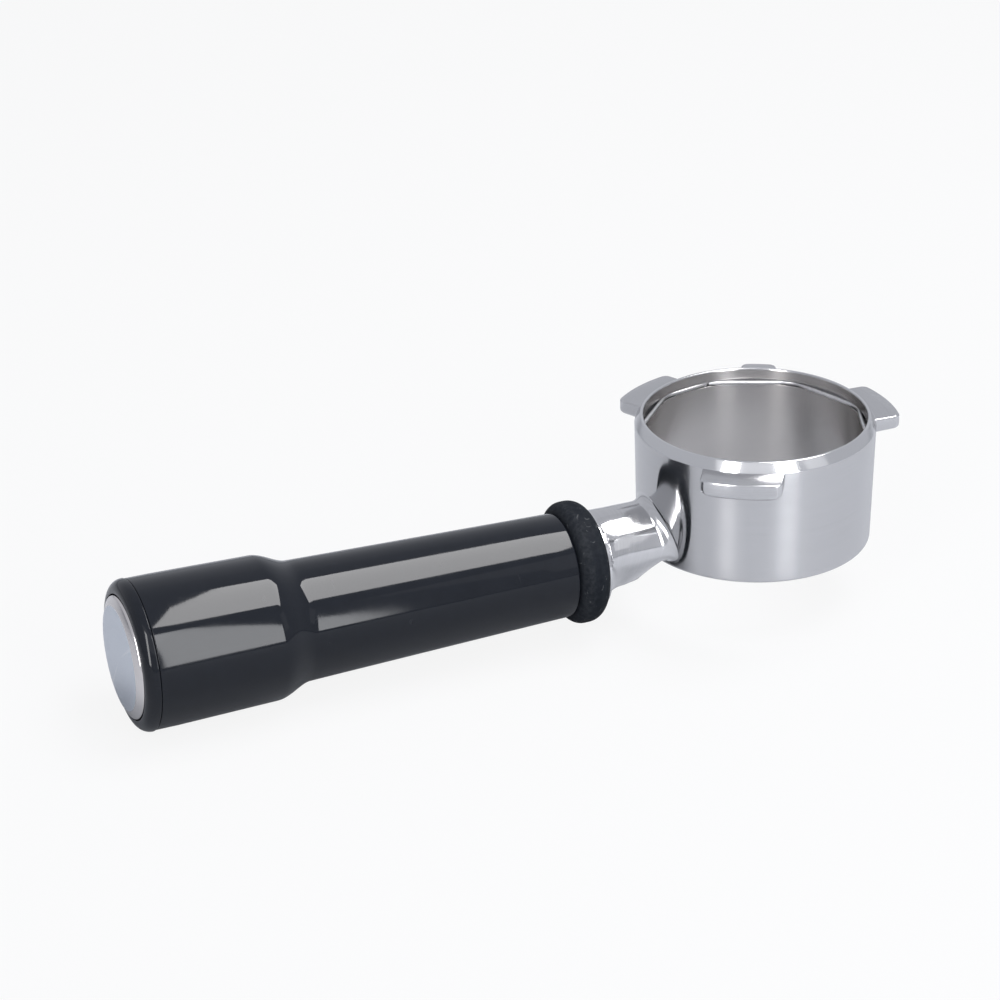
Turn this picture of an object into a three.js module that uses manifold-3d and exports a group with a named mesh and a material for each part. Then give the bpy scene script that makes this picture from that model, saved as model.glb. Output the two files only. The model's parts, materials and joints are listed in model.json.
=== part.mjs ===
// Bottomless portafilter for an espresso machine with a 54 mm filter basket.
// Millimetres, +Z up. The origin is on the axis of the filter opening, in the plane of the rim
// that seals against the group head. The handle points along -X.
import * as THREE from "three";
import { mergeVertices } from "three/addons/utils/BufferGeometryUtils.js";
import Module from "manifold-3d";

const wasm = await Module();
wasm.setup();

// ---- Driving dimensions ----

// Filter ring: a turned stainless ring, open at both ends.
const ringHeight = 33.5;
const boreRadius = 28.7; // takes the basket
const ringWall = 2.3; // just under the rim chamfer
const wallDraft = 0.7; // the wall is this much thinner at the foot
const rimFlatWidth = 0.8; // flat top of the rim
const rimChamferDrop = 2.5;
const footFillet = 1.0;
const edgeBreak = 0.3; // small chamfers on turned edges
const chamferFoot = { width: 0.35, height: 0.75 }; // eases the rim chamfer's lower corner
const chamferTop = { width: 0.2, height: 0.15 }; // and its upper corner

// Wire spring that holds the basket, and the groove in the bore that it lies in.
const wireRadius = 0.6;
const wireClearance = 0.1; // between the wire and the groove, above, below and behind
const wireFlatInset = 1.8; // how far the middle of a straight lies inside the bends
const wireQuarterShare = 0.72; // of that inset, a quarter of the way along a straight
const wireEndGap = 2.0; // degrees between the two ends of the wire
const grooveDrop = 2.9; // upper edge of the groove, below the rim
const grooveDepth = 1.3;
// Where the wire is bent, in degrees round from the handle; the ends meet at the first one.
const wireBends = [-92, -66, -22, 22, 66, 110, 140, 178, 223];

// Bayonet lugs. Angles are in degrees round from the handle, seen from above.
const lugReach = 6.8; // beyond the ring's wall
const lugRootDrop = 2.3; // top of the lug where it leaves the ring, below the rim
const lugTipDrop = 2.6; // top of the lug at its outer edge
const lugThickness = 4.4; // at the outer edge
const lugCorner = 1.8; // in plan
const lugTopEdge = 0.4; // rounding of the upper outer edge
const lugLowerEdge = 1.5; // rounding of the lower outer edge
const lugTopArcEnd = 84; // degrees; the sloping top meets the upper rounding there
const lugTopRunIn = 0.2; // the top's slope ends this far inside the ring's wall
const lugPlanRoot = 1.0; // the lugs' plans start this far outside the bore
const lugSectionRoot = 0.5; // and their section this far
const mainLugs = { angles: [57, 177, -63], width: 31.5 };
const keyLug = { angles: [-119], width: 14 };

// Neck, from the ring's wall to the flange that backs the collar.
const handleAxisAboveFoot = 1.9;
const neckRise = 2.1; // the neck's axis lies this far above the handle's
const neckRadius = 10.3;
const neckLength = 15.2; // ring wall to flange
const neckFlare = 2.6; // radius of the flare into the ring's wall
const neckSunk = 1.2; // how far the flare's edge is sunk in the ring's wall
const neckBlend = 7.5; // length over which the lower half flattens towards the ring
const flangeFlare = 6.5; // length of the hollow that runs out into the flange
const flangeThickness = 0.8;

// Tang: the stem inside the handle, with a blind threaded hole for the bolt.
const tangRadius = 8.0;
const tangLength = 41.0; // behind the flange
const tangChamfer = 1.0;
const tangOverlap = 1.0; // into the neck
const boltHoleDepth = 28.0;
const boltHoleCone = 2.0; // length of the drill's point

// Rubber collar between the neck and the handle.
const collarSwell = 3.4; // beyond the flange's edge
const collarFrontLength = 3.8; // over which the collar swells
const collarRounding = 3.2; // of the rear edge
const collarRoundingStart = 15; // degrees; the swell meets the rear rounding there
const collarLength = 8.2; // behind the flange

// Handle shell.
const shellFrontRadius = 13.4;
const shellWaistRadius = 15.2;
const shellShoulderRadius = 18.25;
const shellBarrelRadius = 18.8;
const waistLength = 71.0;
const shoulderLength = 9.5;
const barrelLength = 31.7;
const barrelLand = 6.0; // straight stretch at the barrel's end
const shellFrontEdge = 0.6; // chamfer
const shellTaperRunOut = 2.0; // the bore's taper ends this far behind the shoulder
const shellWall = 2.1;
const barrelWall = 2.4;

// Core sleeve, with a web that the bolt's head pulls against, and a flange that holds the shell.
const coreSetback = 2.0; // behind the collar
const coreWebGap = 4.0; // behind the tang
const coreWebThickness = 6.0;
const corePocket = 14.0; // behind the web, for the bolt's head
const coreFlangeThickness = 4.0;

// Bolt, washers and key pin.
const boltRadius = 4.0;
const boltTipGap = 3.0; // to the bottom of the threaded hole
const boltTipChamfer = 0.8;
const boltHeadChamfer = 0.6;
const boltHeadOverhang = 2.5;
const boltHeadHeight = 8.0;
const boltSocketFlats = 6.0;
const boltSocketDepth = 4.0;
const washerWidth = 3.7;
const washerThickness = 1.6;
const lockWasherWidth = 2.7;
const lockWasherThickness = 2.0;
const lockWasherSplit = 1.2;
const lockWasherSlant = 20; // degrees
const keyPinRadius = 1.5;
const keyPinSetback = 12.6; // behind the collar
const keyPinFloor = 0.5; // metal left between the pin's hole and the bolt's hole
const keyPinSink = 0.2; // below the core's surface

// End cap, adhesive pad and steel disc.
const capProud = 0.2; // beyond the shell's barrel
const capLength = 3.5; // beyond the shell's end
const capRounding = 3.1; // length of the rounded edge
const capLipWidth = 3.3; // round the disc
const capSkirtLength = 7.5;
const capSkirtWall = 1.8;
const capSkirtChamfer = 0.5;
const capWeb = 2.0;
const discProud = 1.3; // beyond the cap's lip
const discThickness = 2.6;
const discBevelWidth = 2.2;
const discBevelDepth = 1.0;
const padThickness = 0.7;
const padInset = 1.0;

// Gaps between pieces that touch or slide together.
const fitGap = 0.3; // round a piece in its bore
const seatGap = 0.1; // between flat faces that rest on each other
const cutMargin = 1.0; // how far a cutting body runs past what it cuts
const boreCutMargin = 30.0; // the same for the bore, which has to clear the lugs and the neck

// Facets round the round pieces, and steps along curves.
const ringFacets = 60;
const handleFacets = 40;
const smallFacets = 24;
const keyPinFacets = 16;
const boltSocketSides = 6;
const arcSteps = 5;
const lugLowerSteps = 4;
const lugTopSteps = 2;
const lugCornerSteps = 8;
const neckFlareSteps = 6;
const flangeFlareAngles = [0, 25, 50, 70, 90]; // degrees round the flare's quarter ellipse
const shoulderSteps = 5;
const wireSteps = 96;
const wireQuarterSteps = 4;

// ---- Worked out from the driving dimensions ----

// Stations are distances along the handle from the axis of the filter opening.
const ringRadius = boreRadius + ringWall;
const ringFootRadius = ringRadius - wallDraft;
const rimFlatRadius = boreRadius + rimFlatWidth;
const grooveRadius = boreRadius + grooveDepth;
const grooveHeight = 2 * (wireRadius + wireClearance);
const lugRadius = ringRadius + lugReach;
const lugUnderside = lugTipDrop + lugThickness;
const handleAxisZ = handleAxisAboveFoot - ringHeight;
const flangeRadius = neckRadius + neckRise; // so that the neck's top line runs on level
const flangeStation = ringRadius + neckLength;
const flangeBack = flangeStation + flangeThickness;
const collarRadius = flangeRadius + collarSwell;
const collarBack = flangeBack + collarLength;
const waistEnd = collarBack + waistLength;
const shoulderEnd = waistEnd + shoulderLength;
const barrelEnd = shoulderEnd + barrelLength;
const tangEnd = flangeBack + tangLength;
const boltHoleStart = tangEnd - boltHoleDepth;
const boltHoleRadius = boltRadius + fitGap;
const boltHeadRadius = boltRadius + boltHeadOverhang;
const washerRadius = boltHoleRadius + washerWidth;
const keyPinStation = collarBack + keyPinSetback;
const keyPinHoleRadius = keyPinRadius + fitGap;
const coreFront = collarBack + coreSetback;
const coreBoreRadius = tangRadius + fitGap;
const corePocketRadius = washerRadius + fitGap;
const coreRadius = shellFrontRadius - shellWall - fitGap;
const coreFlangeRadius = shellWaistRadius - shellWall - fitGap;
const coreWebStart = tangEnd + coreWebGap;
const coreWebEnd = coreWebStart + coreWebThickness;
const coreEnd = coreWebEnd + corePocket;
const washerStation = coreWebEnd + seatGap;
const lockWasherStation = washerStation + washerThickness + seatGap;
const boltHeadStation = lockWasherStation + lockWasherThickness + seatGap;
const capRadius = shellBarrelRadius + capProud;
const capEnd = barrelEnd + capLength;
const capSkirtRadius = shellBarrelRadius - barrelWall - fitGap;
const discRecessRadius = capRadius - capLipWidth;
const discRadius = discRecessRadius - fitGap;
const discFace = capEnd + discProud;
const discBack = discFace - discThickness;
const padBack = discBack - seatGap - padThickness;
const capWebOuter = padBack - seatGap;

// ---- Materials ----

const finish = (color, roughness, metalness) =>
  new THREE.MeshStandardMaterial({ color, roughness, metalness });
const steel = () => finish(0xb4b6b9, 0.2, 1);
const brightSteel = () => finish(0xc2c5ca, 0.1, 1);
const platedSteel = () => finish(0x9c9d9b, 0.35, 1);
const aluminium = () => finish(0xa9abad, 0.4, 1);
const glossBlack = () => finish(0x14171c, 0.12, 0);
const rubber = () => finish(0x17191d, 0.8, 0);
const foam = () => finish(0xd8d6cf, 0.9, 0);

// ---- Helpers ----

const radians = THREE.MathUtils.degToRad;
const degrees = THREE.MathUtils.radToDeg;

// Points of an arc in a turning profile, as [radius, height] pairs.
function arc(centreR, centreY, radius, fromDeg, toDeg, steps = arcSteps) {
  return Array.from({ length: steps + 1 }, (_, i) => {
    const a = radians(fromDeg + ((toDeg - fromDeg) * i) / steps);
    return [centreR + radius * Math.cos(a), centreY + radius * Math.sin(a)];
  });
}

// A body turned from a profile that runs anticlockwise, round the local Y axis.
function turned(profile, facets) {
  const startsOnAxis = profile[0][0] === 0;
  const closed = startsOnAxis ? profile : [...profile, profile[0]];
  const points = closed.map(([r, y]) => new THREE.Vector2(r, y));
  return new THREE.LatheGeometry(points, facets);
}

// The same, standing on the Z axis with profile heights as Z.
function turnedUpright(profile, facets) {
  return turned(profile, facets).rotateX(Math.PI / 2);
}

// A turned body whose profile heights are stations along the handle, in the part's frame.
function turnedAlongHandle(profile, facets, axisZ = handleAxisZ) {
  return turned(profile, facets).rotateZ(Math.PI / 2).translate(0, 0, axisZ);
}

function solidOf(geometry) {
  const bare = geometry.clone();
  bare.deleteAttribute("normal");
  bare.deleteAttribute("uv");
  const merged = mergeVertices(bare, 1e-4);
  const indices = merged.index.array;
  const triVerts = new Uint32Array(indices);
  const vertProperties = new Float32Array(merged.attributes.position.array);
  return new wasm.Manifold(new wasm.Mesh({ numProp: 3, vertProperties, triVerts }));
}

function geometryOf(solid) {
  const mesh = solid.getMesh();
  const geometry = new THREE.BufferGeometry();
  geometry.setAttribute("position", new THREE.BufferAttribute(mesh.vertProperties, 3));
  geometry.setIndex(new THREE.BufferAttribute(mesh.triVerts, 1));
  geometry.computeVertexNormals();
  return geometry;
}

function named(name, geometry, material) {
  const mesh = new THREE.Mesh(geometry, material);
  mesh.name = name;
  return mesh;
}

// A point at an angle round from the handle, seen from above, in the part's frame.
function roundFromHandle(angle, radius) {
  const a = radians(180 + angle);
  return [radius * Math.cos(a), radius * Math.sin(a)];
}

// ---- Portafilter body: ring, lugs, neck and tang in one casting ----

// The ring without its bore.
function ringBlank() {
  const profile = [
    [0, -ringHeight],
    ...arc(ringFootRadius - footFillet, footFillet - ringHeight, footFillet, -90, 0),
    [ringRadius, -rimChamferDrop],
    [ringRadius - chamferFoot.width, chamferFoot.height - rimChamferDrop],
    [rimFlatRadius + chamferTop.width, -chamferTop.height],
    [rimFlatRadius, 0],
    [0, 0],
  ];
  return solidOf(turnedUpright(profile, ringFacets));
}

// The space inside the ring: the bore, its broken edges and the spring's groove.
function boreSpace() {
  const grooveBottom = grooveDrop + grooveHeight;
  const profile = [
    [0, -ringHeight - boreCutMargin],
    [boreRadius + edgeBreak, -ringHeight - boreCutMargin],
    [boreRadius + edgeBreak, -ringHeight],
    [boreRadius, edgeBreak - ringHeight],
    [boreRadius, -grooveBottom],
    [grooveRadius, -grooveBottom],
    [grooveRadius, -grooveDrop],
    [boreRadius, -grooveDrop],
    [boreRadius, -edgeBreak],
    [boreRadius + edgeBreak, 0],
    [boreRadius + edgeBreak, boreCutMargin],
    [0, boreCutMargin],
  ];
  return solidOf(turnedUpright(profile, ringFacets));
}

// Plan of one lug: a sector with rounded outer corners that starts inside the ring's wall.
function lugPlan(midDeg, widthDeg) {
  const from = midDeg - widthDeg / 2;
  const to = midDeg + widthDeg / 2;
  const inner = boreRadius + lugPlanRoot;
  const cornerStart = lugRadius - lugCorner;
  const arcFrom = from + degrees(lugCorner / lugRadius);
  const arcTo = to - degrees(lugCorner / lugRadius);
  const plan = new THREE.Shape();
  plan.moveTo(...roundFromHandle(from, inner));
  plan.lineTo(...roundFromHandle(from, cornerStart));
  plan.quadraticCurveTo(...roundFromHandle(from, lugRadius), ...roundFromHandle(arcFrom, lugRadius));
  plan.absarc(0, 0, lugRadius, radians(180 + arcFrom), radians(180 + arcTo), false);
  plan.quadraticCurveTo(...roundFromHandle(to, lugRadius), ...roundFromHandle(to, cornerStart));
  plan.lineTo(...roundFromHandle(to, inner));
  return plan;
}

// All lugs at once: a turned flange with the lugs' section, cut to the plans.
function lugs() {
  const inner = boreRadius + lugSectionRoot;
  const topArcDrop = lugTipDrop + lugTopEdge;
  const section = [
    [inner, -lugUnderside],
    ...arc(lugRadius - lugLowerEdge, lugLowerEdge - lugUnderside, lugLowerEdge, -90, 0, lugLowerSteps),
    ...arc(lugRadius - lugTopEdge, -topArcDrop, lugTopEdge, 0, lugTopArcEnd, lugTopSteps),
    [ringRadius - lugTopRunIn, -lugRootDrop],
    [inner, -lugRootDrop],
  ];
  const flange = solidOf(turnedUpright(section, ringFacets * 2));
  const plans = [mainLugs, keyLug].flatMap(({ angles, width }) => angles.map((a) => lugPlan(a, width)));
  const depth = lugUnderside + 2 * cutMargin;
  const extrusion = { depth, bevelEnabled: false, curveSegments: lugCornerSteps };
  const posts = plans.map((plan) =>
    solidOf(new THREE.ExtrudeGeometry(plan, extrusion).translate(0, 0, -lugUnderside - cutMargin)),
  );
  return posts.map((post) => flange.intersect(post)).reduce((all, lug) => all.add(lug));
}

// The neck, turned round its own axis: it flares into the ring and runs out into the flange.
function neck() {
  const flareRadius = neckRadius + neckFlare;
  const flangeStations = flangeFlareAngles.map(
    (angle) => flangeStation - flangeFlare * (1 - Math.sin(radians(angle))),
  );
  const profile = [
    [0, ringRadius - neckSunk],
    [flareRadius, ringRadius - neckSunk],
    ...arc(flareRadius, ringRadius + neckFlare, neckFlare, 270, 180, neckFlareSteps),
    [neckRadius, ringRadius + neckBlend],
    ...flangeStations.map((station) => [neckRadius + neckRise * flangeGrowth(station), station]),
    [flangeRadius, flangeBack],
    [0, flangeBack],
  ];
  const geometry = turnedAlongHandle(profile, handleFacets, 0);
  const position = geometry.attributes.position;
  for (let i = 0; i < position.count; i++) {
    position.setXYZ(i, ...neckPoint(position.getX(i), position.getY(i), position.getZ(i)));
  }
  return solidOf(geometry);
}

// Moves a point of the straight turned neck to its place. Near the ring the neck follows the
// round wall, and its lower half flattens until it ends level with the ring's foot. Towards the
// flange its axis drops to the handle's.
function neckPoint(x, y, z) {
  const station = -x;
  const nearRing = 1 - smooth(ringRadius, ringRadius + neckBlend, station);
  const wallHollow = ringRadius - Math.sqrt(ringRadius ** 2 - y ** 2);
  const followWall = wallHollow * (1 - smooth(ringRadius + neckFlare, ringRadius + neckBlend, station));
  const hang = (handleAxisAboveFoot + neckRise) / (neckRadius + neckFlare);
  const flatten = z < 0 ? 1 + (hang - 1) * nearRing : 1;
  const rise = neckRise * (1 - flangeGrowth(station));
  return [x + followWall, y, z * flatten + handleAxisZ + rise];
}

// How far the neck has grown into its flange at a station, from 0 to 1, along a quarter ellipse.
function flangeGrowth(station) {
  const along = THREE.MathUtils.clamp((station - flangeStation) / flangeFlare + 1, 0, 1);
  return 1 - Math.sqrt(1 - along ** 2);
}

// Runs from 0 to 1 as a value goes from low to high, with no kink at either end.
function smooth(low, high, value) {
  return THREE.MathUtils.smoothstep(value, low, high);
}

// The tang carries the handle: a stem with a blind threaded hole and a hole for the key pin.
function tang() {
  const stem = turnedAlongHandle(
    [
      [0, flangeBack - tangOverlap],
      [tangRadius, flangeBack - tangOverlap],
      [tangRadius, tangEnd - tangChamfer],
      [tangRadius - tangChamfer, tangEnd],
      [0, tangEnd],
    ],
    smallFacets,
  );
  const hole = turnedAlongHandle(
    [
      [0, boltHoleStart],
      [boltHoleRadius, boltHoleStart + boltHoleCone],
      [boltHoleRadius, tangEnd + cutMargin],
      [0, tangEnd + cutMargin],
    ],
    smallFacets,
  );
  const pinHole = keyPinHole().translate(-keyPinStation, 0, handleAxisZ);
  return solidOf(stem).subtract(solidOf(hole)).subtract(solidOf(pinHole));
}

// A hole for the key pin, from near the bolt hole outwards, round the pin's own axis at the origin.
function keyPinHole() {
  const from = boltHoleRadius + keyPinFloor;
  const length = shellWaistRadius;
  return new THREE.CylinderGeometry(keyPinHoleRadius, keyPinHoleRadius, length, keyPinFacets)
    .rotateX(Math.PI / 2)
    .translate(0, 0, from + length / 2);
}

function portafilterBody() {
  const outside = ringBlank().add(lugs()).add(neck()).subtract(boreSpace());
  return named("portafilter_body", geometryOf(outside.add(tang())), steel());
}

// ---- Basket spring: one length of wire, bent into straights that lie across the groove ----

function basketSpring() {
  const bendRadius = grooveRadius - wireClearance - wireRadius;
  const depth = grooveDrop + grooveHeight / 2;
  const stops = [...wireBends.slice(1), wireBends[0] + 360];
  stops[stops.length - 1] -= wireEndGap / 2;
  const first = wireBends[0] + wireEndGap / 2;
  const at = (angle, radius) => new THREE.Vector3(...roundFromHandle(angle, radius), -depth);
  const points = [at(first, bendRadius)];
  let last = first;
  for (const stop of stops) {
    const span = stop - last;
    const inset = Math.min(wireFlatInset, bendRadius * (1 - Math.cos(radians(span / 2))));
    for (const share of [0.25, 0.5, 0.75]) {
      const sag = share === 0.5 ? inset : inset * wireQuarterShare;
      points.push(at(last + span * share, bendRadius - sag));
    }
    points.push(at(stop, bendRadius));
    last = stop;
  }
  const path = new THREE.CatmullRomCurve3(points, false, "centripetal");
  const section = new THREE.Shape();
  section.absarc(0, 0, wireRadius, 0, 2 * Math.PI, false);
  const extrusion = { steps: wireSteps, curveSegments: wireQuarterSteps, extrudePath: path };
  return named("basket_spring", new THREE.ExtrudeGeometry(section, extrusion), brightSteel());
}

// ---- Handle: every piece below is turned round the handle's axis, in stations ----

// The collar swells from the flange's edge along a quarter ellipse.
function neckCollar() {
  const boreR = tangRadius + fitGap;
  const front = flangeBack + seatGap;
  const swelling = arc(0, 0, 1, 180, 90).map(([back, out]) => [
    flangeRadius + collarSwell * out,
    front + collarFrontLength * (1 + back),
  ]);
  const centreR = collarRadius - collarRounding;
  const profile = [
    [boreR, front],
    ...swelling,
    ...arc(centreR, collarBack - collarRounding, collarRounding, collarRoundingStart, 90),
    [boreR, collarBack],
  ];
  return named("neck_collar", turned(profile, handleFacets), rubber());
}

function handleShell() {
  const front = collarBack + seatGap;
  const boreR = shellFrontRadius - shellWall;
  const flangeBore = coreFlangeRadius + fitGap;
  const ledge = coreEnd - coreFlangeThickness - seatGap;
  const barrelBore = shellBarrelRadius - barrelWall;
  const shoulder = Array.from({ length: shoulderSteps + 1 }, (_, i) => {
    const along = i / shoulderSteps;
    const rise = (shellShoulderRadius - shellWaistRadius) * smooth(0, 1, along);
    return [shellWaistRadius + rise, waistEnd + shoulderLength * along];
  });
  const profile = [
    [boreR, front],
    [shellFrontRadius - shellFrontEdge, front],
    [shellFrontRadius, front + shellFrontEdge],
    ...shoulder,
    [shellBarrelRadius, barrelEnd - barrelLand],
    [shellBarrelRadius, barrelEnd - edgeBreak],
    [shellBarrelRadius - edgeBreak, barrelEnd],
    [barrelBore, barrelEnd],
    [barrelBore, shoulderEnd + shellTaperRunOut],
    [flangeBore, waistEnd],
    [flangeBore, ledge],
    [boreR, ledge],
  ];
  return named("handle_shell", turned(profile, handleFacets), glossBlack());
}

function handleCore() {
  const profile = [
    [coreBoreRadius, coreFront],
    [coreRadius, coreFront],
    [coreRadius, coreEnd - coreFlangeThickness],
    [coreFlangeRadius, coreEnd - coreFlangeThickness],
    [coreFlangeRadius, coreEnd],
    [corePocketRadius, coreEnd],
    [corePocketRadius, coreWebEnd],
    [boltHoleRadius, coreWebEnd],
    [boltHoleRadius, coreWebStart],
    [coreBoreRadius, coreWebStart],
  ];
  const pinHole = keyPinHole().translate(0, keyPinStation, 0);
  const sleeve = solidOf(turned(profile, smallFacets)).subtract(solidOf(pinHole));
  return named("handle_core", geometryOf(sleeve), aluminium());
}

function keyPin() {
  const foot = boltHoleRadius + keyPinFloor + fitGap;
  const top = coreRadius - keyPinSink;
  const profile = [
    [0, foot],
    [keyPinRadius - edgeBreak, foot],
    [keyPinRadius, foot + edgeBreak],
    [keyPinRadius, top - edgeBreak],
    [keyPinRadius - edgeBreak, top],
    [0, top],
  ];
  const pin = turned(profile, keyPinFacets).rotateX(Math.PI / 2).translate(0, keyPinStation, 0);
  return named("key_pin", pin, platedSteel());
}

function handleBolt() {
  const tip = boltHoleStart + boltTipGap;
  const headEnd = boltHeadStation + boltHeadHeight;
  const profile = [
    [0, tip],
    [boltRadius - boltTipChamfer, tip],
    [boltRadius, tip + boltTipChamfer],
    [boltRadius, boltHeadStation],
    [boltHeadRadius, boltHeadStation],
    [boltHeadRadius, headEnd - boltHeadChamfer],
    [boltHeadRadius - boltHeadChamfer, headEnd],
    [0, headEnd],
  ];
  const corner = boltSocketFlats / Math.sqrt(3);
  const socket = new THREE.CylinderGeometry(corner, corner, 2 * boltSocketDepth, boltSocketSides)
    .translate(0, headEnd, 0);
  const bolt = solidOf(turned(profile, smallFacets)).subtract(solidOf(socket));
  return named("handle_bolt", geometryOf(bolt), platedSteel());
}

function ringBetween(innerRadius, outerRadius, from, to, facets) {
  return turned(
    [
      [innerRadius, from],
      [outerRadius, from],
      [outerRadius, to],
      [innerRadius, to],
    ],
    facets,
  );
}

function flatWasher() {
  const washer = ringBetween(
    boltHoleRadius,
    washerRadius,
    washerStation,
    washerStation + washerThickness,
    smallFacets,
  );
  return named("flat_washer", washer, platedSteel());
}

// A split spring washer, pressed flat, with a slanting cut.
function lockWasher() {
  const ring = ringBetween(
    boltHoleRadius,
    boltHoleRadius + lockWasherWidth,
    lockWasherStation,
    lockWasherStation + lockWasherThickness,
    smallFacets,
  );
  const cutLength = lockWasherThickness + 4 * cutMargin;
  const cutWidth = lockWasherWidth + 2 * cutMargin;
  const cut = new THREE.BoxGeometry(lockWasherSplit, cutLength, cutWidth)
    .rotateZ(radians(lockWasherSlant))
    .translate(0, lockWasherStation + lockWasherThickness / 2, boltHoleRadius + lockWasherWidth / 2);
  return named("lock_washer", geometryOf(solidOf(ring).subtract(solidOf(cut))), platedSteel());
}

function endCap() {
  const back = barrelEnd + seatGap;
  const lip = discRecessRadius + edgeBreak;
  const rounding = arc(0, 0, 1, 0, 90).map(([out, up]) => [
    lip + (capRadius - lip) * out,
    capEnd - capRounding * (1 - up),
  ]);
  const profile = [
    [capSkirtRadius - capSkirtWall, back - capSkirtLength],
    [capSkirtRadius - capSkirtChamfer, back - capSkirtLength],
    [capSkirtRadius, back - capSkirtLength + capSkirtChamfer],
    [capSkirtRadius, back],
    [capRadius - edgeBreak, back],
    [capRadius, back + edgeBreak],
    ...rounding,
    [discRecessRadius, capEnd - edgeBreak],
    [discRecessRadius, capWebOuter],
    [0, capWebOuter],
    [0, capWebOuter - capWeb],
    [capSkirtRadius - capSkirtWall, capWebOuter - capWeb],
  ];
  const fromAxis = [...profile.slice(-2), ...profile.slice(0, -2)];
  return named("end_cap", turned(fromAxis, handleFacets), glossBlack());
}

function discPad() {
  const radius = discRadius - padInset;
  const pad = turned(
    [
      [0, padBack],
      [radius, padBack],
      [radius, padBack + padThickness],
      [0, padBack + padThickness],
    ],
    handleFacets,
  );
  return named("disc_pad", pad, foam());
}

function endDisc() {
  const profile = [
    [0, discBack],
    [discRadius - edgeBreak, discBack],
    [discRadius, discBack + edgeBreak],
    [discRadius, discFace - discBevelDepth],
    [discRadius - discBevelWidth, discFace],
    [0, discFace],
  ];
  return named("end_disc", turned(profile, handleFacets), brightSteel());
}

// ---- Assembly ----

const handle = new THREE.Group();
handle.add(neckCollar(), handleShell(), handleCore(), keyPin(), handleBolt());
handle.add(flatWasher(), lockWasher(), endCap(), discPad(), endDisc());
handle.position.z = handleAxisZ;
handle.rotation.z = Math.PI / 2;

const portafilter = new THREE.Group();
portafilter.add(portafilterBody(), basketSpring(), handle);

export default portafilter;
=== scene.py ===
# Bottomless portafilter: the ring with its lugs, the neck, the spring wire, the rubber collar,
# the handle, its cap and the disc in the cap. Lengths in the dictionaries are millimetres.
import json
import math
import bmesh
import bpy
from mathutils import Matrix, Vector


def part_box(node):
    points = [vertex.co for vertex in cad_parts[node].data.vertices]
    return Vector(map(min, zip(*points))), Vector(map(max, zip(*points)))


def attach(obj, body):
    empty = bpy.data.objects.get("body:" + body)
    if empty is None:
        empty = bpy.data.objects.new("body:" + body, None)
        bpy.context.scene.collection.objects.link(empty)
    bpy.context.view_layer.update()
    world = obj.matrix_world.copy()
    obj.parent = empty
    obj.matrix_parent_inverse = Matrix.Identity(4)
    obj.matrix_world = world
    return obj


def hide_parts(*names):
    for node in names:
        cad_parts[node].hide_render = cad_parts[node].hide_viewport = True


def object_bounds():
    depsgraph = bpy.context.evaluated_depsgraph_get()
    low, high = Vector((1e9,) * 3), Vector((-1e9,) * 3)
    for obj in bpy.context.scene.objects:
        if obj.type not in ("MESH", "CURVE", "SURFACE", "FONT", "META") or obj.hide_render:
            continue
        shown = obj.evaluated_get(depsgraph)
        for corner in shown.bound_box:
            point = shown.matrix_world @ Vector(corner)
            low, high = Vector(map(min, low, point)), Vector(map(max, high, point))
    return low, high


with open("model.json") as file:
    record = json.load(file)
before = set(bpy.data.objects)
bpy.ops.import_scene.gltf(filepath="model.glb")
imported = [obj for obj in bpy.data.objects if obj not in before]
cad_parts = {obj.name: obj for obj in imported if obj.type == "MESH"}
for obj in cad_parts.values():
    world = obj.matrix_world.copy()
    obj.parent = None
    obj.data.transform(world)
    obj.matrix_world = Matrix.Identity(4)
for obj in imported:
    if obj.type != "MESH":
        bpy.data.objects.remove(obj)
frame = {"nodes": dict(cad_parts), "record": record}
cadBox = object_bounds()
mm = 0.001
print("frame loaded:", len(frame["nodes"]), "nodes")


camera = {"place": (-348.0, -652.6, 336.1), "aim": (-59.1, 29.3, -25.4), "roll": -0.97,
          "lens": 113.6, "sensor": 36, "near": 10}


def aimed(place, aim, roll):
    turn = (Vector(aim) - Vector(place)).to_track_quat("-Z", "Y").to_matrix()
    turn = turn @ Matrix.Rotation(math.radians(roll), 3, "Z")
    return turn.to_euler()


def addCamera():
    place = Vector(camera["place"]) * mm
    turn = aimed(camera["place"], camera["aim"], camera["roll"])
    bpy.ops.object.camera_add(location=place, rotation=turn)
    made = bpy.context.object
    made.name = "productCamera"
    made.data.lens = camera["lens"]
    made.data.sensor_width = camera["sensor"]
    made.data.clip_start = camera["near"] * mm
    bpy.context.scene.camera = made


addCamera()

# each panel's glow is the brightness of its face, whatever its size
softboxes = {
    "topBox": {"place": (320, -140, 900), "aim": (320, -140, 0), "roll": -11,
               "size": (500, 800), "glow": 10.0, "tint": (1.0, 0.99, 0.99)},
    "frontBox": {"place": (42, -650, 395), "aim": (42, 0, 395), "roll": 0,
                 "size": (190, 800), "glow": 8.0, "tint": (0.97, 0.98, 1.0)},
    "sideBox": {"place": (-960, -770, 560), "aim": (0, 0, 100), "roll": 0,
                "size": (300, 1100), "glow": 8.5, "tint": (1.0, 0.99, 0.99)},
    "rightPanel": {"place": (820, -1200, 760), "aim": (0, 0, 300), "roll": 0,
                   "size": (560, 800), "glow": 0.3, "tint": (0.98, 0.98, 1.0)},
    "fillPanel": {"place": (-560, -900, 900), "aim": (0, 0, 0), "roll": 0,
                  "size": (1500, 800), "glow": 0.38, "tint": (0.98, 0.98, 1.0)},
    "backPanel": {"place": (700, 1500, 800), "aim": (0, 0, 0), "roll": 0,
                  "size": (2400, 1300), "glow": 0.04, "tint": (0.93, 0.96, 1.0)},
}


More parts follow.
